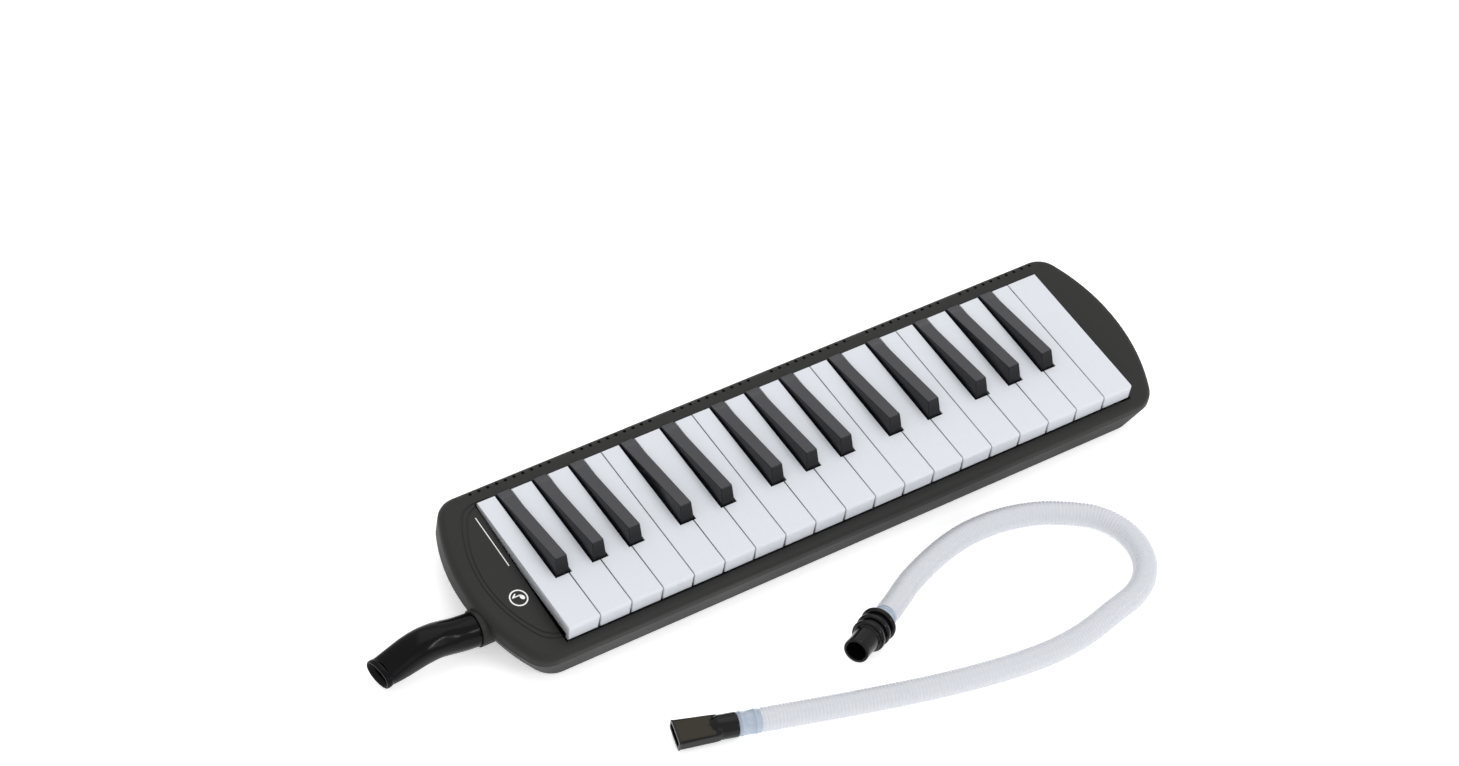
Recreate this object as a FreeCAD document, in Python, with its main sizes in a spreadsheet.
import FreeCAD, Part
import math
import os
import Sketcher

# A 32-key melodica with its short mouthpiece fitted and its blowing hose lying in front of it.
# Millimetres. +X runs along the keyboard to the treble end, +Y to the rear, +Z up.
# The origin is on the flat underside, at the middle of the case.

DIMENSIONS = [
    # case
    ("case_length", 420.0), ("case_depth", 109.0), ("end_bulge", 15.0), ("corner_round", 14.0),
    ("rim_height", 17.0), ("front_height", 23.6), ("rear_height", 33.0), ("wall", 2.4),
    ("top_round", 4.0), ("base_round", 4.0), ("base_inset", 4.6), ("end_inset", 9.0),
    # keyboard
    ("board_left", -178.0), ("key_pitch", 19.0), ("white_gap", 0.5), ("key_top", 34.0),
    ("key_front", -48.0), ("key_rear", 43.6), ("cap_depth", 7.0), ("skirt_bottom", 24.0),
    ("skirt_depth", 2.4), ("skirt_bevel", 1.8), ("slot_gap", 0.9), ("slot_end_gap", 0.8),
    ("black_width", 8.6), ("black_front", -16.4), ("black_slant", 4.0), ("black_rise", 9.5),
    ("black_rear_rise", 0.7), ("black_gap", 0.6), ("black_offset", 3.2), ("black_draft", 2.8),
    # key action
    ("axle_y", 32.0), ("axle_z", 23.4), ("axle_radius", 1.5), ("axle_fit", 0.05),
    ("lever_width", 4.4), ("lever_bottom", 21.2), ("lever_front", -36.0), ("tail_rear", 49.8),
    ("tail_top", 25.6), ("pad_width", 6.4), ("pad_front", 44.2), ("pad_thickness", 2.0),
    # wind chest
    ("chest_left", -179.0), ("chest_right", 181.0), ("chest_front", 4.0), ("chest_rear", 50.2),
    ("chest_top", 19.2), ("comb_bottom", 11.6), ("comb_skin", 1.8), ("cell_width", 8.2),
    ("cell_front", 8.4), ("cell_step", 0.5), ("cell_rear", 48.6), ("pallet_width", 4.2),
    ("pallet_front", 45.0), ("pallet_length", 3.2), ("plate_thickness", 1.0),
    ("gasket_thickness", 0.6), ("cover_bottom", 3.2), ("cover_wall", 1.8), ("cover_front", 5.0),
    ("cover_rear", 47.6), ("cover_rail", 3.8), ("rib_width", 2.4), ("rib_depth", 7.0),
    ("reed_thickness", 0.25), ("reed_width", 2.6), ("reed_long", 30.0), ("reed_short", 12.0),
    ("reed_root", 40.0), ("rivet_radius", 0.9),
    # inlet, socket and short mouthpiece
    ("inlet_y", -13.6), ("inlet_z", 14.0), ("socket_radius", 10.1), ("socket_bore", 7.6),
    ("socket_end", -211.6), ("socket_inner", -195.0), ("duct_right", -180.0), ("duct_wall", 1.6),
    ("duct_front", -24.0), ("duct_rear", 30.0), ("duct_bottom", 3.2), ("duct_top", 22.8),
    ("seal_radius", 8.7), ("seal_width", 2.2), ("spigot_radius", 7.5), ("spigot_length", 12.0),
    # drain valve
    ("drain_y", 24.0), ("drain_z", 10.0), ("drain_radius", 4.0),
    # rests and small parts
    ("felt_width", 4.6), ("felt_thickness", 1.6), ("white_rail_y", -49.2), ("white_rail_top", 17.6),
    ("black_rail_y", -10.0), ("black_rail_top", 16.6), ("screw_radius", 1.4), ("screw_head", 2.6),
    ("strap_width", 22.0), ("strap_y", -24.0), ("strap_half", 74.0), ("strap_thickness", 1.2),
    # blowing hose
    ("hose_diameter", 13.2), ("hose_bore", 9.0), ("plug_radius", 7.1), ("plug_ring", 9.9),
    ("plug_ring_pitch", 5.8), ("plug_ring_width", 3.2), ("plug_length", 28.8),
    ("flat_width", 16.0), ("flat_height", 6.8), ("flat_length", 33.0),
]

NOTES = ["c", "cs", "d", "ds", "e", "f", "fs", "g", "gs", "a", "as", "b"]
LOWEST_NOTE = 41
KEY_COUNT = 32
BLACK_NOTES = {1: -1, 3: 1, 6: -1, 8: 0, 10: 1}

# The hose lies on the table: the corners of its run, from the flat mouthpiece to the plug.
HOSE_ROUTE = [
    (-121.0, -122.4, 6.7), (-93.0, -130.2, 6.7), (-52.0, -141.7, 6.7), (-4.0, -153.5, 6.7),
    (41.0, -160.5, 6.7), (72.0, -164.6, 6.7), (100.7, -163.4, 6.7), (119.3, -154.2, 6.7),
    (132.3, -137.7, 6.7), (136.6, -117.3, 6.7), (131.9, -97.1, 6.7), (118.6, -80.9, 6.7),
    (99.8, -71.9, 6.7), (73.5, -71.3, 6.7), (45.7, -76.0, 6.7), (19.5, -84.2, 6.7),
    (-5.2, -97.0, 6.9), (-19.7, -104.4, 10.0),
]

doc = FreeCAD.newDocument("melodica")
sheet = doc.addObject("Spreadsheet::Sheet", "Sheet")
for row, (alias, value) in enumerate(DIMENSIONS, start=1):
    sheet.set("A%d" % row, alias)
    sheet.set("B%d" % row, str(value))
    sheet.setAlias("B%d" % row, alias)
doc.recompute()
nodes = {}


def size(alias):
    """The value of one driving dimension."""
    return float(sheet.get(alias))


def ref(text):
    """Turns $name into a reference to the sheet."""
    return text.replace("$", "Sheet.")


def node(obj, label):
    """Names a finished sub-part."""
    obj.Label = label
    nodes[label] = obj
    return obj


def box(name, corner, extent):
    """A Part::Box whose low corner and extents are expressions."""
    made = doc.addObject("Part::Box", name)
    for prop, text in zip(("Length", "Width", "Height"), extent):
        made.setExpression(prop, ref(text))
    for axis, text in zip("xyz", corner):
        made.setExpression("Placement.Base." + axis, ref(text))
    return made


TURNS = {
    "z": FreeCAD.Rotation(),
    "x": FreeCAD.Rotation(FreeCAD.Vector(0, 1, 0), 90),
    "-x": FreeCAD.Rotation(FreeCAD.Vector(0, 1, 0), -90),
}


def cylinder(name, base, radius, length, along="z"):
    """A Part::Cylinder from base along an axis, its sizes expressions."""
    made = doc.addObject("Part::Cylinder", name)
    made.Placement = FreeCAD.Placement(FreeCAD.Vector(), TURNS[along])
    made.setExpression("Radius", ref(radius))
    made.setExpression("Height", ref(length))
    for axis, text in zip("xyz", base):
        made.setExpression("Placement.Base." + axis, ref(text))
    return made


def fuse(name, shapes):
    """Several shapes joined into one."""
    made = doc.addObject("Part::MultiFuse", name)
    made.Shapes = shapes
    return made


def group(name, shapes):
    """Separate solids kept together in one sub-part."""
    made = doc.addObject("Part::Compound", name)
    made.Links = shapes
    return made


def cut(name, base, tools):
    """A base with every tool taken out of it."""
    made = doc.addObject("Part::Cut", name)
    made.Base = base
    made.Tool = tools[0] if len(tools) == 1 else group(name + "_tools", tools)
    return made


def computed(name, shape):
    """A Part::Feature for a shape made by a formula from the sheet's sizes."""
    made = doc.addObject("Part::Feature", name)
    made.Shape = shape
    return made


# ---------------------------------------------------------------- sketches in bodies
def origin_plane(body, role):
    """One of the three planes of a body's own origin."""
    return next(f for f in body.Origin.OriginFeatures if f.Role == role)


def polygon_sketch(body, name, role, corners, offset="0"):
    """A closed polygon whose every corner is held by expressions from the sketch's origin."""
    sketch = body.newObject("Sketcher::SketchObject", name)
    sketch.AttachmentSupport = (origin_plane(body, role), [""])
    sketch.MapMode = "FlatFace"
    sketch.setExpression("AttachmentOffset.Base.z", ref(offset))
    count = len(corners)
    ring = [FreeCAD.Vector(50 * math.cos(2 * math.pi * i / count),
                           50 * math.sin(2 * math.pi * i / count), 0) for i in range(count)]
    for i in range(count):
        sketch.addGeometry(Part.LineSegment(ring[i], ring[(i + 1) % count]))
    for i in range(count):
        sketch.addConstraint(Sketcher.Constraint("Coincident", i, 2, (i + 1) % count, 1))
    for i, (across, along) in enumerate(corners):
        for kind, text, start in (("DistanceX", across, ring[i].x), ("DistanceY", along, ring[i].y)):
            index = sketch.addConstraint(Sketcher.Constraint(kind, -1, 1, i, 1, start))
            sketch.setExpression("Constraints[%d]" % index, ref(text))
    return sketch


def pad(body, sketch, length, both_ways=False):
    """Material raised from a sketch."""
    made = body.newObject("PartDesign::Pad", sketch.Name + "_pad")
    made.Profile = sketch
    made.Midplane = both_ways
    made.setExpression("Length", ref(length))
    return made


def pocket_through(body, sketch):
    """A sketch cut right through its body, both ways."""
    made = body.newObject("PartDesign::Pocket", sketch.Name + "_cut")
    made.Profile = sketch
    made.Type = 1
    made.Midplane = True
    return made


def axle_hole(body, name, offset):
    """The bearing hole of a key, along X."""
    sketch = body.newObject("Sketcher::SketchObject", name)
    sketch.AttachmentSupport = (origin_plane(body, "YZ_Plane"), [""])
    sketch.MapMode = "FlatFace"
    sketch.setExpression("AttachmentOffset.Base.z", ref(offset))
    start = (size("axle_y"), size("axle_z"))
    radius = size("axle_radius") + size("axle_fit")
    centre = FreeCAD.Vector(start[0], start[1], 0)
    sketch.addGeometry(Part.Circle(centre, FreeCAD.Vector(0, 0, 1), radius))
    for kind, text, value in (("DistanceX", "$axle_y", start[0]), ("DistanceY", "$axle_z", start[1])):
        index = sketch.addConstraint(Sketcher.Constraint(kind, -1, 1, 0, 3, value))
        sketch.setExpression("Constraints[%d]" % index, ref(text))
    index = sketch.addConstraint(Sketcher.Constraint("Radius", 0, radius))
    sketch.setExpression("Constraints[%d]" % index, ref("$axle_radius + $axle_fit"))
    return pocket_through(body, sketch)


# ---------------------------------------------------------------- keys
def keyboard_layout():
    """One row per key: name, colour, place of its left edge in white keys, and its octave step."""
    layout = []
    white = 0
    for i in range(KEY_COUNT):
        midi = LOWEST_NOTE + 12 + i
        step = midi % 12
        label = "key_%s%d" % (NOTES[step], midi // 12 - 1)
        black = step in BLACK_NOTES
        layout.append({"label": label, "black": black, "white": white, "step": step})
        white += 0 if black else 1
    return layout


def black_centre(entry):
    """Middle of a black key: on the line between two white keys, moved sideways in its group."""
    side = BLACK_NOTES[entry["step"]]
    return "$board_left + %d * $key_pitch + (%d) * $black_offset" % (entry["white"], side)


def white_edges(layout, i):
    """How far the black keys on each side bite into a white key, as expressions."""
    bites = []
    for neighbour, sign in ((i - 1, -1), (i + 1, 1)):
        if 0 <= neighbour < len(layout) and layout[neighbour]["black"]:
            side = BLACK_NOTES[layout[neighbour]["step"]] * sign
            text = "($black_width / 2 + $black_gap - $white_gap / 2 - (%d) * $black_offset)" % side
            bites.append(text)
        else:
            bites.append(None)
    return bites


def lever(body, label, front, offset):
    """The key's lever: a rib from under the key, over the axle, to the tail above the valve."""
    profile = [
        (front, "$lever_bottom"), ("$tail_rear", "$lever_bottom"),
        ("$tail_rear", "$tail_top"), ("$key_rear - 1", "$tail_top"),
        ("$key_rear - 1", "$key_top - $cap_depth + 1"), (front, "$key_top - $cap_depth + 1"),
    ]
    sketch = polygon_sketch(body, label + "_lever", "YZ_Plane", profile, offset)
    pad(body, sketch, "$lever_width", both_ways=True)
    return axle_hole(body, label + "_axle", offset)


def valve_pad(label, centre):
    """The soft pad under the key's tail, which closes the pallet hole."""
    return box(label + "_pad", (centre + " - $pad_width / 2", "$pad_front", "$chest_top"),
               ("$pad_width", "$tail_rear - $pad_front", "$pad_thickness"))


def white_key(layout, i):
    """A white key: cap notched for its black neighbours, front skirt, lever and valve pad."""
    entry = layout[i]
    label = entry["label"]
    left_bite, right_bite = white_edges(layout, i)
    half = "($key_pitch - $white_gap) / 2"
    notch = "$black_front - $black_gap"
    outline = [("-" + half, "$key_front"), (half, "$key_front")]
    if right_bite:
        outline += [(half, notch), ("%s - %s" % (half, right_bite), notch),
                    ("%s - %s" % (half, right_bite), "$key_rear")]
    else:
        outline += [(half, "$key_rear")]
    if left_bite:
        outline += [("%s - %s" % (left_bite, half), "$key_rear"),
                    ("%s - %s" % (left_bite, half), notch), ("-" + half, notch)]
    else:
        outline += [("-" + half, "$key_rear")]
    body = doc.addObject("PartDesign::Body", label + "_body")
    cap = polygon_sketch(body, label + "_plan", "XY_Plane", outline, "$key_top - $cap_depth")
    pad(body, cap, "$cap_depth")
    skirt = [("$key_front", "$skirt_bottom"), ("$key_front + $skirt_depth", "$skirt_bottom"),
             ("$key_front + $skirt_depth", "$key_top - $cap_depth + 1"),
             ("$key_front", "$key_top - $cap_depth + 1")]
    pad(body, polygon_sketch(body, label + "_skirt", "YZ_Plane", skirt), "$key_pitch - $white_gap", True)
    bevel = [("$key_front - 1", "$key_top - $skirt_bevel - 1"),
             ("$key_front + $skirt_bevel + 1", "$key_top + 1"), ("$key_front - 1", "$key_top + 1")]
    pocket_through(body, polygon_sketch(body, label + "_bevel", "YZ_Plane", bevel))
    shift = "0"
    if left_bite or right_bite:
        shift = "(%s - %s) / 2" % (left_bite or "0", right_bite or "0")
    lever(body, label, "$lever_front", shift)
    middle = "$board_left + (%d + 0.5) * $key_pitch" % entry["white"]
    body.setExpression("Placement.Base.x", ref(middle))
    return node(group(label, [body, valve_pad(label, middle + " + " + shift)]), label)


def black_key(entry):
    """A black key: tapered block with a sloping crest, lever and valve pad."""
    label = entry["label"]
    body = doc.addObject("PartDesign::Body", label + "_body")
    half = "$black_width / 2"
    plan = [("-" + half, "$black_front"), (half, "$black_front"),
            (half, "$key_rear"), ("-" + half, "$key_rear")]
    base = "$key_top - $cap_depth"
    sketch = polygon_sketch(body, label + "_plan", "XY_Plane", plan, base)
    block = pad(body, sketch, "$cap_depth + $black_rise + 1")
    block.setExpression("TaperAngle", ref("-$black_draft"))
    crest = [
        ("$black_front - 2", base), ("$black_front", base), ("$black_front", "$key_top - 1"),
        ("$black_front + $black_slant", "$key_top + $black_rise"),
        ("$key_rear + 1", "$key_top + $black_rear_rise"),
        ("$key_rear + 1", "$key_top + $black_rise + 5"),
        ("$black_front - 2", "$key_top + $black_rise + 5"),
    ]
    pocket_through(body, polygon_sketch(body, label + "_crest", "YZ_Plane", crest))
    lever(body, label, "$black_front + 2", "0")
    middle = black_centre(entry)
    body.setExpression("Placement.Base.x", ref(middle))
    return node(group(label, [body, valve_pad(label, middle)]), label)


layout = keyboard_layout()
for i, entry in enumerate(layout):
    if entry["black"]:
        black_key(entry)
    else:
        white_key(layout, i)
doc.recompute()


def lever_centre(i):
    """X of a key's lever, valve pad and pallet hole."""
    entry = layout[i]
    if entry["black"]:
        return black_centre(entry)
    left_bite, right_bite = white_edges(layout, i)
    middle = "$board_left + (%d + 0.5) * $key_pitch" % entry["white"]
    return "%s + (%s - %s) / 2" % (middle, left_bite or "0", right_bite or "0")


# ---------------------------------------------------------------- case shells
def outline(inset, end_inset, height):
    """The case's outline at one height: straight front and rear, bulging ends, round corners."""
    half_length = size("case_length") / 2 - end_inset
    half_depth = size("case_depth") / 2 - inset
    corner = half_length - size("end_bulge")
    rear_left = FreeCAD.Vector(-corner, half_depth, height)
    rear_right = FreeCAD.Vector(corner, half_depth, height)
    front_left = FreeCAD.Vector(-corner, -half_depth, height)
    front_right = FreeCAD.Vector(corner, -half_depth, height)
    sharp = Part.Wire([
        Part.makeLine(rear_left, rear_right),
        Part.Arc(rear_right, FreeCAD.Vector(half_length, 0, height), front_right).toShape(),
        Part.makeLine(front_right, front_left),
        Part.Arc(front_left, FreeCAD.Vector(-half_length, 0, height), rear_left).toShape(),
    ])
    radius = size("corner_round")
    return sharp.makeOffset2D(-radius).makeOffset2D(radius)


BEYOND = 20.0    # how far a cutting shape reaches past the case
TALL = 60.0      # higher than anything on the case
UP = FreeCAD.Vector(0, 0, TALL)
WHITE_KEYS = 19
BOSS_RADIUS = 3.4
POST_RADIUS = 3.6
SCREW_FIT = 0.05
SCREW_CLEARANCE = 0.15
SCREW_PLACES = [(-184.0, -33.0), (-184.0, 34.5), (187.5, -30.0), (187.5, 30.5)]
STRAP_POST_FOOT = 1.7
STRAP_POST_HEIGHT = 9.0
STRAP_SCREW_INSET = 5.0
RECESS_DEPTH = 1.6
HOLE_GROUPS = 6
HOLES_PER_GROUP = 10
HOLE_RADIUS = 0.95
FIRST_HOLE = -177.4
HOLE_PITCH = 5.32
GROUP_GAP = 14.95
HOLE_INSET = 3.5
CONTOUR_INSETS = (9.0, 11.2)
CONTOUR_WIDTH = 0.9
CONTOUR_DEPTH = 0.35


def case_bounds():
    """A box a little larger than the case, as its low corner and extents."""
    half_length = size("case_length") / 2 + BEYOND
    half_depth = size("case_depth") / 2 + BEYOND
    return FreeCAD.Vector(-half_length, -half_depth, -BEYOND), 2 * half_length, 2 * half_depth


def slope_cutter(drop):
    """Everything above the sloping top face, lowered by a wall."""
    corner, length, depth = case_bounds()
    rise = (size("rear_height") - size("front_height")) / size("case_depth")
    front = size("front_height") - drop - BEYOND * rise
    rear = size("rear_height") - drop + BEYOND * rise
    corners = [(corner.y, front), (corner.y + depth, rear), (corner.y + depth, TALL + BEYOND),
               (corner.y, TALL + BEYOND), (corner.y, front)]
    profile = Part.makePolygon([FreeCAD.Vector(corner.x, y, z) for y, z in corners])
    return Part.Face(profile).extrude(FreeCAD.Vector(length, 0, 0))


def slope_solid(depth):
    """Everything under a plane a little below the sloping top face."""
    corner, length, width = case_bounds()
    return Part.makeBox(length, width, TALL + BEYOND, corner).cut(slope_cutter(depth))


def upper_block(wall):
    """The case above its rim, solid, inset by a wall thickness."""
    block = Part.Face(outline(wall, wall, size("rim_height"))).extrude(UP)
    return block.cut(slope_cutter(wall))


def lower_block(wall):
    """The case below its rim, solid, tapering to its flat underside."""
    bottom = outline(size("base_inset") + wall, size("end_inset") + wall, 0.0)
    top = outline(wall, wall, size("rim_height"))
    return Part.makeLoft([bottom, top], True, True)


def edges_at_top(shape):
    """The outer edges of the sloping top face."""
    found = max((f for f in shape.Faces if f.normalAt(0, 0).z > 0.9), key=lambda f: f.Area)
    return found.OuterWire.Edges


def edges_at_bottom(shape):
    """The outer edges of the flat underside."""
    found = min(shape.Faces, key=lambda f: f.CenterOfMass.z)
    return found.OuterWire.Edges


def upright(radius, x, y, low, height):
    """A standing cylinder."""
    return Part.makeCylinder(radius, height, FreeCAD.Vector(x, y, low))


def x_cylinder(radius, left, right, y, z):
    """A lying cylinder, along X."""
    return Part.makeCylinder(radius, right - left, FreeCAD.Vector(left, y, z), FreeCAD.Vector(1, 0, 0))


def sound_holes():
    """Six groups of ten holes along the rear edge of the top."""
    holes = []
    y = size("case_depth") / 2 - HOLE_INSET
    low = size("rear_height") - 8
    step = (HOLES_PER_GROUP - 1) * HOLE_PITCH + GROUP_GAP
    for cluster in range(HOLE_GROUPS):
        for i in range(HOLES_PER_GROUP):
            holes.append(upright(HOLE_RADIUS, FIRST_HOLE + cluster * step + i * HOLE_PITCH, y, low, 14))
    return Part.makeCompound(holes)


def key_slot():
    """The opening that the keys stand in."""
    left = size("board_left") - size("slot_end_gap")
    right = size("board_left") + WHITE_KEYS * size("key_pitch") + size("slot_end_gap")
    front = size("key_front") - size("slot_gap")
    rear = size("key_rear") + size("slot_gap")
    return Part.makeBox(right - left, rear - front, TALL, FreeCAD.Vector(left, front, size("rim_height")))


def socket_hole():
    """Where the mouthpiece socket passes through the left end of both shells."""
    left = -size("case_length") / 2 - BEYOND
    return x_cylinder(size("socket_radius") + 0.15, left, size("socket_inner") + 1,
                      size("inlet_y"), size("inlet_z"))


def drain_hole():
    """Where the drain button passes through the right end of the lower case."""
    right = size("case_length") / 2 + BEYOND
    return x_cylinder(size("drain_radius") + 0.3, 190.0, right, size("drain_y"), size("drain_z"))


def end_contour():
    """Two fine steps that follow the left end of the top, between the edge and the keys."""
    corner, _, depth = case_bounds()
    left = Part.makeBox(size("board_left") + 8 - corner.x, depth, TALL, FreeCAD.Vector(corner.x, corner.y, 0))
    steps = []
    for inset in CONTOUR_INSETS:
        outer = Part.Face(outline(inset, inset, 0.0))
        inner = Part.Face(outline(inset + CONTOUR_WIDTH, inset + CONTOUR_WIDTH, 0.0))
        steps.append(outer.cut(inner).extrude(UP).common(left))
    return Part.makeCompound(steps).cut(slope_solid(CONTOUR_DEPTH))


def upper_case_shape():
    """The upper shell with its key slot, sound holes and four bosses for the case screws."""
    rim = size("rim_height")
    outer = upper_block(0.0)
    outer = outer.makeFillet(size("top_round"), edges_at_top(outer))
    shell = outer.cut(upper_block(size("wall")))
    bosses = Part.makeCompound([upright(BOSS_RADIUS, x, y, rim, TALL) for x, y in SCREW_PLACES])
    shell = shell.fuse(bosses.cut(slope_cutter(size("wall") / 2)).Solids)
    pilot = size("screw_radius") + SCREW_FIT
    pilots = Part.makeCompound([upright(pilot, x, y, rim, 8) for x, y in SCREW_PLACES])
    for tool in (key_slot(), sound_holes(), socket_hole(), end_contour(), pilots):
        shell = shell.cut(tool)
    return shell


def felt_rails():
    """The two ribs that carry the felts under the keys' fronts."""
    wall = size("wall")
    left = size("board_left") + 2
    length = WHITE_KEYS * size("key_pitch") - 4
    return [Part.makeBox(length, size("felt_width"), size(row + "_rail_top") - wall / 2,
                         FreeCAD.Vector(left, size(row + "_rail_y"), wall / 2)) for row in ("white", "black")]


def strap_recess():
    """The shallow seat of the hand strap in the underside."""
    half = size("strap_half") + 2
    width = size("strap_width") + 2
    corner = FreeCAD.Vector(-half, size("strap_y") - width / 2, -0.2)
    return Part.makeBox(2 * half, width, RECESS_DEPTH + 0.2, corner)


def lower_case_shape():
    """The lower shell with its felt rails, screw posts and strap seat."""
    wall, rim = size("wall"), size("rim_height")
    outer = lower_block(0.0)
    outer = outer.makeFillet(size("base_round"), edges_at_bottom(outer))
    corner, length, depth = case_bounds()
    floor = Part.makeBox(length, depth, wall, FreeCAD.Vector(corner.x, corner.y, 0))
    shell = outer.cut(lower_block(wall).cut(floor))
    reach = size("strap_half") - STRAP_SCREW_INSET
    strap_places = [(-reach, size("strap_y")), (reach, size("strap_y"))]
    posts = [upright(POST_RADIUS, x, y, wall, rim - wall) for x, y in SCREW_PLACES]
    posts += [upright(POST_RADIUS, x, y, STRAP_POST_FOOT, STRAP_POST_HEIGHT) for x, y in strap_places]
    shell = shell.fuse(felt_rails() + posts)
    holes = []
    for x, y in SCREW_PLACES:
        holes.append(upright(size("screw_radius") + SCREW_CLEARANCE, x, y, -1, rim + 2))
        holes.append(upright(size("screw_head") + 0.3, x, y, -1, 3.6))
    holes += [upright(size("screw_radius") + SCREW_FIT, x, y, 0, STRAP_POST_HEIGHT) for x, y in strap_places]
    for tool in (strap_recess(), socket_hole(), drain_hole(), Part.makeCompound(holes)):
        shell = shell.cut(tool)
    return shell


node(computed("upper_case_shell", upper_case_shape()), "upper_case")
node(computed("lower_case_shell", lower_case_shape()), "lower_case")


def screw(name, x, y, low, length):
    """A pan-head screw standing head down."""
    head = cylinder(name + "_head", (x, y, low), "$screw_head", "1.6")
    shank = cylinder(name + "_shank", (x, y, low + " + 1.6"), "$screw_radius", length)
    return fuse(name, [head, shank])


node(group("case_screw_set", [screw("case_screw_%d" % n, str(x), str(y), "0.9", "20.5")
                              for n, (x, y) in enumerate(SCREW_PLACES)]), "case_screws")

# ---------------------------------------------------------------- wind chest
RIB_LINES = [0, 4, 7, 11, 14, 18, 19]
INNER_LINES = RIB_LINES[1:-1]


def line_x(k):
    """X of the line between two white keys, moved inward at the two ends of the keyboard."""
    inward = {0: " + 0.4", 19: " - 3.4"}.get(k, "")
    return "$board_left + %d * $key_pitch%s" % (k, inward)


def cell_tools():
    """A reed cell open to the plate below, and its pallet hole above, for each key."""
    tools = []
    for i in range(KEY_COUNT):
        x = lever_centre(i)
        front = "$cell_front + %d * $cell_step" % i
        tools.append(box("cell_%02d" % i, (x + " - $cell_width / 2", front, "$comb_bottom - 1"),
                         ("$cell_width", "$cell_rear - (%s)" % front,
                          "$chest_top - $comb_skin - $comb_bottom + 1")))
        tools.append(box("pallet_%02d" % i, (x + " - $pallet_width / 2", "$pallet_front", "$comb_bottom"),
                         ("$pallet_width", "$pallet_length", "$chest_top - $comb_bottom + 1")))
    return tools


def screw_bores(prefix, rows, low, length):
    """Holes for the small screws, on each inner rib line and row."""
    return [cylinder("%s_bore_%d_%d" % (prefix, k, n), (line_x(k), y, low), "1.05", length)
            for k in INNER_LINES for n, y in enumerate(rows)]


COVER_ROWS = ("$cover_front + $cover_rail / 2", "$cover_rear - $cover_rail / 2")
PLATE_ROWS = ("13", "36")

comb_block = box("comb_block", ("$chest_left", "$chest_front", "$comb_bottom"),
                 ("$chest_right - $chest_left", "$chest_rear - $chest_front", "$chest_top - $comb_bottom"))
ribs = [box("rib_%d" % k, (line_x(k) + " - $rib_width / 2", "$axle_y - $rib_depth / 2", "$chest_top - 0.5"),
            ("$rib_width", "$rib_depth", "$axle_z + 2.4 - $chest_top + 0.5")) for k in RIB_LINES]
axle_bore = cylinder("axle_bore", ("$chest_left - 1", "$axle_y", "$axle_z"), "$axle_radius + $axle_fit",
                     "$chest_right - $chest_left + 2", "x")
comb_tools = cell_tools() + [axle_bore]
comb_tools += screw_bores("comb_cover", COVER_ROWS, "$comb_bottom - 1", "5.5")
comb_tools += screw_bores("comb_plate", PLATE_ROWS, "$comb_bottom - 1", "4.5")
node(cut("comb", fuse("comb_body", [comb_block] + ribs), comb_tools), "reed_comb")
node(cylinder("axle", ("$chest_left + 0.3", "$axle_y", "$axle_z"), "$axle_radius",
              "$chest_right - $chest_left - 0.6", "x"), "key_axle")


def reed_length(i):
    """The reeds shorten evenly from the lowest note to the highest."""
    return "($reed_long - ($reed_long - $reed_short) * %d / %d)" % (i, KEY_COUNT - 1)


def reed_plate(name, first, last, left, right):
    """A brass plate with one slot under each reed cell."""
    plate = box(name + "_blank", (left, "$cover_front", "$comb_bottom - $plate_thickness"),
                (right + " - (" + left + ")", "$cell_rear + 1 - $cover_front", "$plate_thickness"))
    tools = []
    for i in range(first, last):
        corner = (lever_centre(i) + " - $reed_width / 2 - 0.05", "$reed_root - " + reed_length(i),
                  "$comb_bottom - 3")
        tools.append(box("%s_slot_%02d" % (name, i), corner, ("$reed_width + 0.1", reed_length(i), "6")))
    for k in INNER_LINES:
        if (k < 10) == (first == 0):
            for n, y in enumerate(COVER_ROWS + PLATE_ROWS):
                tools.append(cylinder("%s_hole_%d_%d" % (name, k, n), (line_x(k), y, "$comb_bottom - 3"),
                                      "1.05", "6"))
    return node(cut(name, plate, tools), name)


reed_plate("reed_plate_low", 0, 17, "$chest_left + 0.6", "$board_left + 10 * $key_pitch - 0.7")
reed_plate("reed_plate_high", 17, 32, "$board_left + 10 * $key_pitch - 0.3", "$chest_right - 0.6")

reeds = [box("reed_%02d" % i,
             (lever_centre(i) + " - $reed_width / 2", "$reed_root - %s + 0.3" % reed_length(i),
              "$comb_bottom - $plate_thickness - $reed_thickness"),
             ("$reed_width", reed_length(i) + " + 3", "$reed_thickness")) for i in range(KEY_COUNT)]
node(group("reed_set", reeds), "reeds")
rivet_low = "$comb_bottom - $plate_thickness - $reed_thickness - 0.5"
rivets = [cylinder("rivet_%02d" % i, (lever_centre(i), "$reed_root + 1.7", rivet_low), "$rivet_radius", "0.5")
          for i in range(KEY_COUNT)]
node(group("rivet_set", rivets), "reed_rivets")


def small_screw(name, x, y, low, length):
    """A small pan-head screw of the wind chest, head down."""
    head = cylinder(name + "_head", (x, y, low), "1.7", "0.8")
    shank = cylinder(name + "_shank", (x, y, low + " + 0.8"), "1.0", length)
    return fuse(name, [head, shank])


plate_screws = [small_screw("plate_screw_%d_%d" % (k, n), line_x(k), y,
                            "$comb_bottom - $plate_thickness - 0.8", "4")
                for k in INNER_LINES for n, y in enumerate(PLATE_ROWS)]
node(group("plate_screw_set", plate_screws), "reed_plate_screws")

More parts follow.
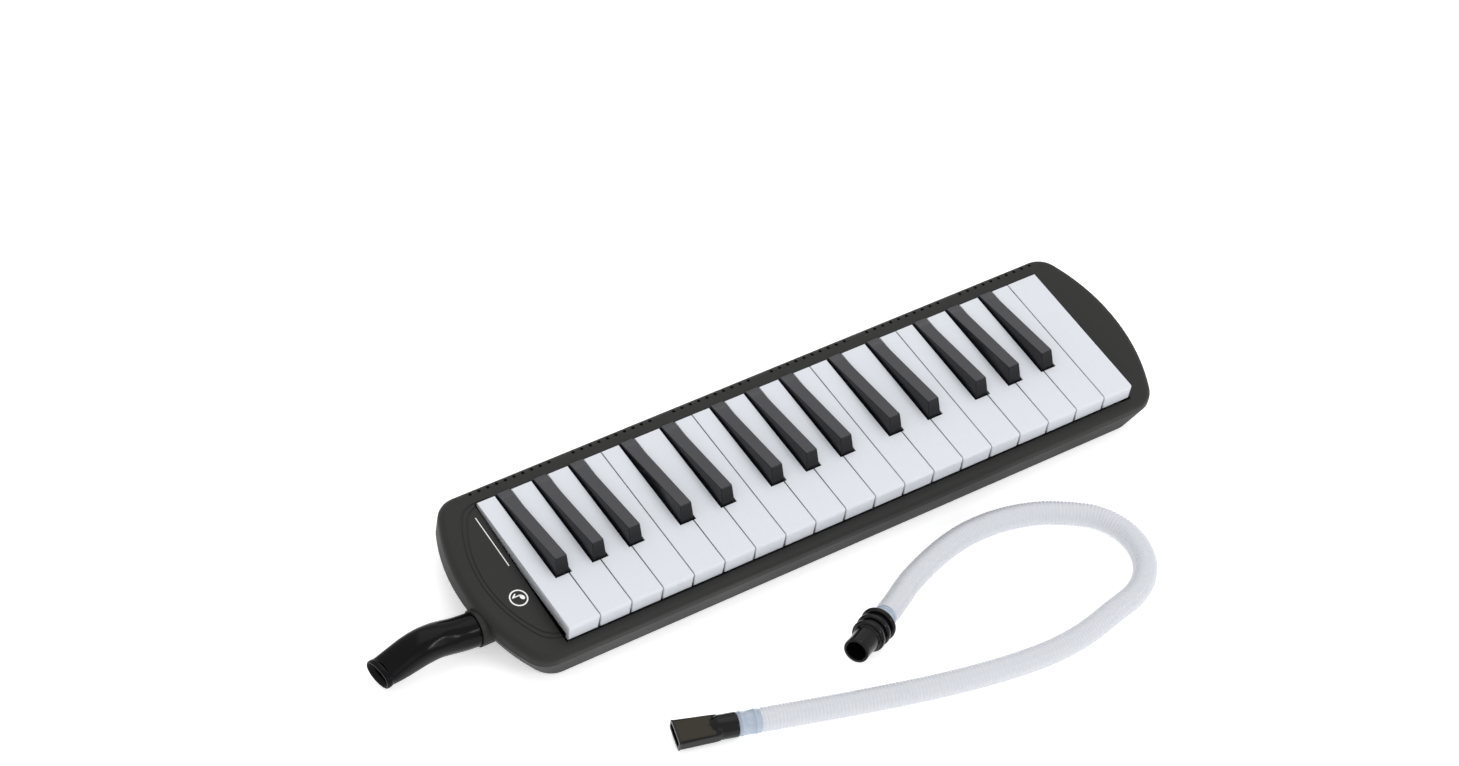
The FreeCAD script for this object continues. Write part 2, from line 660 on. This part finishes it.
gasket_bottom = "$comb_bottom - $plate_thickness - $gasket_thickness"
cover_extent = ("$chest_right - $chest_left - 2", "$cover_rear - $cover_front")
hollow_corner = ("$chest_left + 1 + $cover_wall", "$cover_front + $cover_rail")
hollow_extent = ("$chest_right - $chest_left - 2 - 2 * $cover_wall",
                 "$cover_rear - $cover_front - 2 * $cover_rail")
gasket_blank = box("gasket_blank", ("$chest_left + 1", "$cover_front", gasket_bottom),
                   cover_extent + ("$gasket_thickness",))
gasket_window = box("gasket_window", hollow_corner + (gasket_bottom + " - 1",), hollow_extent + ("4",))
gasket_bores = screw_bores("gasket", COVER_ROWS, gasket_bottom + " - 1", "4")
node(cut("gasket", gasket_blank, [gasket_window] + gasket_bores), "chamber_gasket")
cover_blank = box("cover_blank", ("$chest_left + 1", "$cover_front", "$cover_bottom"),
                  cover_extent + (gasket_bottom + " - $cover_bottom",))
cover_hollow = box("cover_hollow", hollow_corner + ("$cover_bottom + $cover_wall",), hollow_extent + ("20",))
cover_inlet = box("cover_inlet", ("$chest_left - 4", "14", "$cover_bottom + $cover_wall"), ("8", "14", "4"))
cover_drain = cylinder("cover_drain", ("$chest_right - 6", "$drain_y", "$drain_z - 2.6"), "2.0", "20", "x")
cover_bores = screw_bores("cover", COVER_ROWS, "$cover_bottom - 1", "12")
cover_sinks = [cylinder("cover_sink_%d_%d" % (k, n), (line_x(k), y, "$cover_bottom - 1"), "1.85", "2")
               for k in INNER_LINES for n, y in enumerate(COVER_ROWS)]
cover_tools = [cover_hollow, cover_inlet, cover_drain] + cover_bores + cover_sinks
node(cut("cover", cover_blank, cover_tools), "chamber_cover")
cover_screws = [small_screw("cover_screw_%d_%d" % (k, n), line_x(k), y, "$cover_bottom + 0.2", "11.2")
                for k in INNER_LINES for n, y in enumerate(COVER_ROWS)]
node(group("cover_screw_set", cover_screws), "chamber_screws")

# ---------------------------------------------------------------- key springs and felts
SPRING_FRONT = 8.0
SPRING_FOOT = 4.0
SPRING_REACH = 14.0
SPRING_THICKNESS = 0.25
SPRING_WIDTH = 2.6


def ref_value(text):
    """The number that an expression of the sheet's sizes gives."""
    return float(sheet.evalExpression(text.replace("$", "")))


def key_spring(i):
    """A bowed strip fixed to the comb's top, with its free end under the lever."""
    x = ref_value(lever_centre(i)) - SPRING_WIDTH / 2
    low, high = size("chest_top"), size("lever_bottom") - SPRING_THICKNESS
    under = [FreeCAD.Vector(x, SPRING_FRONT, low), FreeCAD.Vector(x, SPRING_FRONT + SPRING_FOOT, low),
             FreeCAD.Vector(x, SPRING_FRONT + SPRING_REACH, high)]
    over = [point + FreeCAD.Vector(0, 0, SPRING_THICKNESS) for point in reversed(under)]
    side = Part.Face(Part.makePolygon(under + over + under[:1]))
    return side.extrude(FreeCAD.Vector(SPRING_WIDTH, 0, 0))


node(computed("spring_set", Part.makeCompound([key_spring(i) for i in range(KEY_COUNT)])), "key_springs")
for row_name in ("white", "black"):
    node(box(row_name + "_felt", ("$board_left + 3", "$%s_rail_y" % row_name, "$%s_rail_top" % row_name),
             ("19 * $key_pitch - 6", "$felt_width", "$felt_thickness")), row_name + "_key_felt")

# ---------------------------------------------------------------- inlet
duct_blank = box("duct_blank", ("$socket_inner", "$duct_front", "$duct_bottom"),
                 ("$duct_right - $socket_inner", "$duct_rear - $duct_front", "$duct_top - $duct_bottom"))
duct_hollow = box("duct_hollow",
                  ("$socket_inner + $duct_wall", "$duct_front + $duct_wall", "$duct_bottom + $duct_wall"),
                  ("$duct_right - $socket_inner - 2 * $duct_wall",
                   "$duct_rear - $duct_front - 2 * $duct_wall",
                   "$duct_top - $duct_bottom - 2 * $duct_wall"))
duct_inlet = cylinder("duct_inlet", ("$socket_inner - 1", "$inlet_y", "$inlet_z"), "$socket_bore", "4", "x")
duct_outlet = box("duct_outlet", ("$duct_right - 4", "14", "$cover_bottom + $cover_wall"), ("8", "14", "4"))
duct_nozzle = box("duct_nozzle", ("$duct_right - 0.5", "12.5", "$cover_bottom + 0.4"), ("2.5", "17", "6"))
duct_body = fuse("duct_body", [duct_blank, duct_nozzle])
node(cut("duct", duct_body, [duct_hollow, duct_inlet, duct_outlet]), "inlet_duct")

socket_tube = cylinder("socket_tube", ("$socket_end", "$inlet_y", "$inlet_z"), "$socket_radius",
                       "$socket_inner - $socket_end", "x")
socket_flange = box("socket_flange", ("$socket_inner - 1.4", "$duct_front", "$duct_bottom"),
                    ("1.4", "2 * ($inlet_y - $duct_front)", "$duct_top - $duct_bottom"))
socket_bore = cylinder("socket_bore", ("$socket_end - 1", "$inlet_y", "$inlet_z"), "$socket_bore", "30", "x")
seal_groove = cylinder("seal_groove", ("$socket_end + 5", "$inlet_y", "$inlet_z"), "$seal_radius",
                       "$seal_width", "x")
socket_body = fuse("socket_body", [socket_tube, socket_flange])
node(cut("socket", socket_body, [socket_bore, seal_groove]), "mouthpiece_socket")
seal_blank = cylinder("seal_blank", ("$socket_end + 5.05", "$inlet_y", "$inlet_z"), "$seal_radius - 0.05",
                      "$seal_width - 0.1", "x")
seal_bore = cylinder("seal_bore", ("$socket_end + 4", "$inlet_y", "$inlet_z"),
                     "$spigot_radius + 0.05", "6", "x")
node(cut("seal", seal_blank, [seal_bore]), "socket_seal")

# Stations of the short mouthpiece: X, Z, tilt in degrees, and the outer and bore half sizes.
MOUTHPIECE = [
    (-212.0, 14.0, 0.0, (9.4, 9.4), (5.4, 5.4)),
    (-219.0, 14.8, 6.0, (9.4, 9.3), (5.7, 5.6)),
    (-227.0, 16.8, 9.0, (9.3, 8.9), (6.1, 5.6)),
    (-235.0, 18.3, 5.0, (9.2, 8.6), (6.5, 5.5)),
    (-242.5, 18.2, -4.0, (9.1, 8.6), (6.8, 5.4)),
    (-250.0, 16.2, -11.0, (9.0, 8.0), (7.1, 5.2)),
    (-258.5, 12.9, -10.0, (8.8, 6.8), (7.3, 4.9)),
    (-266.4, 10.2, -3.0, (8.7, 5.5), (7.5, 4.4)),
    (-269.3, 9.5, 0.0, (9.0, 5.7), (7.9, 4.6)),
]
SPIGOT_ROOT = 1.5
SPIGOT_BORE = 4.8

# An ellipse's long half size must be the greater one, so round sections are this much flatter.
NOT_QUITE_ROUND = 0.9999


# Turns the XY plane to a section across X, its long half along Y.
ACROSS_X = FreeCAD.Rotation(FreeCAD.Vector(0, 1, 0), FreeCAD.Vector(0, 0, 1), FreeCAD.Vector(1, 0, 0), "XYZ")


def ellipse(half):
    """A closed ellipse, wider than it is high."""
    wide, high = half
    return Part.Wire([Part.Ellipse(FreeCAD.Vector(), wide, high * NOT_QUITE_ROUND).toShape()])


def oval(x, z, tilt, half):
    """An elliptical section of the mouthpiece, square to its centre line."""
    wire = ellipse(half)
    turn = FreeCAD.Rotation(FreeCAD.Vector(0, 1, 0), tilt)
    wire.Placement = FreeCAD.Placement(FreeCAD.Vector(x, size("inlet_y"), z), turn.multiply(ACROSS_X))
    return wire


def mouthpiece_shape():
    """Round spigot, shoulder, and a body that bends and flattens to the lipped mouth."""
    outer = Part.makeLoft([oval(x, z, tilt, half) for x, z, tilt, half, _ in MOUTHPIECE], True, False)
    bore = Part.makeLoft([oval(x, z, tilt, half) for x, z, tilt, _, half in MOUTHPIECE], True, False)
    y, z = size("inlet_y"), size("inlet_z")
    right = size("socket_end") + size("spigot_length")
    inside = MOUTHPIECE[0][0] - SPIGOT_ROOT
    spigot = x_cylinder(size("spigot_radius"), inside, right, y, z)
    air = x_cylinder(SPIGOT_BORE, inside, right + 1, y, z)
    return outer.fuse(spigot).cut(bore).cut(air)


node(computed("mouthpiece_body", mouthpiece_shape()), "short_mouthpiece")

# ---------------------------------------------------------------- drain valve
# The button's stem passes through the chamber's end wall, and holds the seal against its inner face.
VALVE_Z = "$drain_z - 2.6"
valve_seat = "$chest_right - 1 - $cover_wall"
button_head = cylinder("button_head", ("196.5", "$drain_y", "$drain_z"), "$drain_radius", "10.7", "x")
button_stem = cylinder("button_stem", (valve_seat + " - 2.4", "$drain_y", VALVE_Z), "1.1",
                       "198.4 - (%s) + 2.4" % valve_seat, "x")
node(fuse("button", [button_head, button_stem]), "drain_button")
spring_outer = cylinder("spring_outer", ("$chest_right - 0.9", "$drain_y", VALVE_Z), "2.6",
                        "197.2 - $chest_right", "x")
spring_inner = cylinder("spring_inner", ("$chest_right - 2", "$drain_y", VALVE_Z), "2.1", "30", "x")
node(cut("drain_spring_ring", spring_outer, [spring_inner]), "drain_spring")
seal_outer = cylinder("drain_seal_outer", (valve_seat + " - 1.25", "$drain_y", VALVE_Z), "2.3", "1.2", "x")
seal_inner = cylinder("drain_seal_inner", (valve_seat + " - 3", "$drain_y", VALVE_Z), "1.1", "9", "x")
node(cut("drain_seal_ring", seal_outer, [seal_inner]), "drain_seal")

# ---------------------------------------------------------------- hand strap
strap_band = box("strap_band", ("-$strap_half", "$strap_y - $strap_width / 2", "0.3"),
                 ("2 * $strap_half", "$strap_width", "$strap_thickness"))
strap_holes = [cylinder("strap_hole_%d" % n, (x, "$strap_y", "-1"), "$screw_radius + 0.1", "4")
               for n, x in enumerate(("5 - $strap_half", "$strap_half - 5"))]
strap_sinks = [cylinder("strap_sink_%d" % n, (x, "$strap_y", "-1"), "$screw_head + 0.2", "1.9")
               for n, x in enumerate(("5 - $strap_half", "$strap_half - 5"))]
node(cut("strap", strap_band, strap_holes + strap_sinks), "hand_strap")
strap_screws = []
for n, x in enumerate(("5 - $strap_half", "$strap_half - 5")):
    head = cylinder("strap_screw_head_%d" % n, (x, "$strap_y", "0.2"), "$screw_head", "0.6")
    shank = cylinder("strap_screw_shank_%d" % n, (x, "$strap_y", "0.8"), "$screw_radius", "7")
    strap_screws.append(fuse("strap_screw_%d" % n, [head, shank]))
node(group("strap_screw_set", strap_screws), "strap_screws")

# ---------------------------------------------------------------- blowing hose
def hose_path(points):
    """Straight runs joined by tangent arcs, each as large as its two runs allow."""
    edges = []
    start = points[0]
    radii = []
    for i in range(1, len(points) - 1):
        before, corner, after = points[i - 1], points[i], points[i + 1]
        back, ahead = before - corner, after - corner
        reach = 0.45 * min(back.Length, ahead.Length)
        turn = math.pi - back.getAngle(ahead)
        radii.append(reach / math.tan(turn / 2))
        back.normalize()
        ahead.normalize()
        first, last = corner + back * reach, corner + ahead * reach
        bisector = back + ahead
        bisector.normalize()
        inner = radii[-1] / math.cos(turn / 2) - radii[-1]
        edges.append(Part.LineSegment(start, first).toShape())
        edges.append(Part.Arc(first, corner + bisector * inner, last).toShape())
        start = last
    edges.append(Part.LineSegment(start, points[-1]).toShape())
    print("hose radii:", " ".join("%.0f" % r for r in radii))
    return Part.Wire(edges)


route = [FreeCAD.Vector(*p) for p in HOSE_ROUTE]
path = hose_path(route)
heading = route[1] - route[0]
section = Part.Wire([Part.Circle(route[0], heading, size("hose_diameter") / 2).toShape()])
tube = path.makePipeShell([section], True, True)
expected = math.pi * size("hose_diameter") ** 2 / 4 * path.Length
print("hose %.1f mm long, volume ratio %.4f" % (path.Length, tube.Volume / expected))
node(computed("hose_tube", tube), "hose")


def aim(direction):
    """Turns +Z to a direction."""
    return FreeCAD.Rotation(FreeCAD.Vector(0, 0, 1), direction)


plug_body = doc.addObject("PartDesign::Body", "plug_body")
neck = "$plug_radius + 0.8"
profile = [("$hose_bore / 2", "0"), (neck, "0")]
for n, ring in enumerate(("$plug_ring", "$plug_ring - 0.3", "$plug_ring - 0.6")):
    low = "0.4 + %d * $plug_ring_pitch" % n
    high = low + " + $plug_ring_width"
    profile += [(neck, low), (ring, low), (ring, high), (neck, high)]
profile += [(neck, "15.8"), ("$plug_radius", "16.4"), ("$plug_radius - 0.2", "$plug_length"),
            ("$hose_bore / 2", "$plug_length")]
plug_sketch = polygon_sketch(plug_body, "plug_profile", "XZ_Plane", profile)
plug_turn = plug_body.newObject("PartDesign::Revolution", "plug_turn")
plug_turn.Profile = plug_sketch
plug_turn.ReferenceAxis = (plug_sketch, ["V_Axis"])
plug_turn.Angle = 360
plug_body.Placement = FreeCAD.Placement(route[-1], aim(route[-1] - route[-2]))
node(plug_body, "hose_plug")

# Stations of the flat mouthpiece from the hose outward: distance, outer and bore half sizes.
FLAT_MOUTH = [
    (0.0, (6.6, 6.6), (4.5, 4.5)), (9.0, (6.6, 6.55), (4.5, 4.4)), (14.0, (7.0, 4.8), (5.2, 3.2)),
    (size("flat_length"), (size("flat_width") / 2, size("flat_height") / 2), (6.8, 2.2)),
]


def flat_loft(halves):
    """A ruled loft through the flat mouthpiece's sections."""
    wires = []
    for (distance, _, _), half in zip(FLAT_MOUTH, halves):
        wire = ellipse(half)
        wire.Placement = FreeCAD.Placement(FreeCAD.Vector(distance, 0, 0), ACROSS_X)
        wires.append(wire)
    return Part.makeLoft(wires, True, True)


flat_outer = flat_loft([outer for _, outer, _ in FLAT_MOUTH])
flat_bore = flat_loft([bore for _, _, bore in FLAT_MOUTH])
flat = computed("flat_mouth", flat_outer.cut(flat_bore))
back = route[0] - route[1]
flat.Placement = FreeCAD.Placement(route[0], FreeCAD.Rotation(FreeCAD.Vector(1, 0, 0), back))
node(flat, "hose_mouthpiece")

# ---------------------------------------------------------------- checks and export
doc.recompute()
os.makedirs("parts", exist_ok=True)
for obj in doc.Objects:
    if "Invalid" in obj.State or "Error" in obj.State:
        raise RuntimeError("%s failed: %s" % (obj.Name, obj.State))
for label, obj in nodes.items():
    shape = obj.Shape
    if shape.isNull() or not shape.isValid():
        raise RuntimeError("%s has no valid shape" % label)
    shape.exportStep("parts/%s.step" % label)
    print("%-22s %3d solids %10.1f mm3" % (label, len(shape.Solids), shape.Volume))
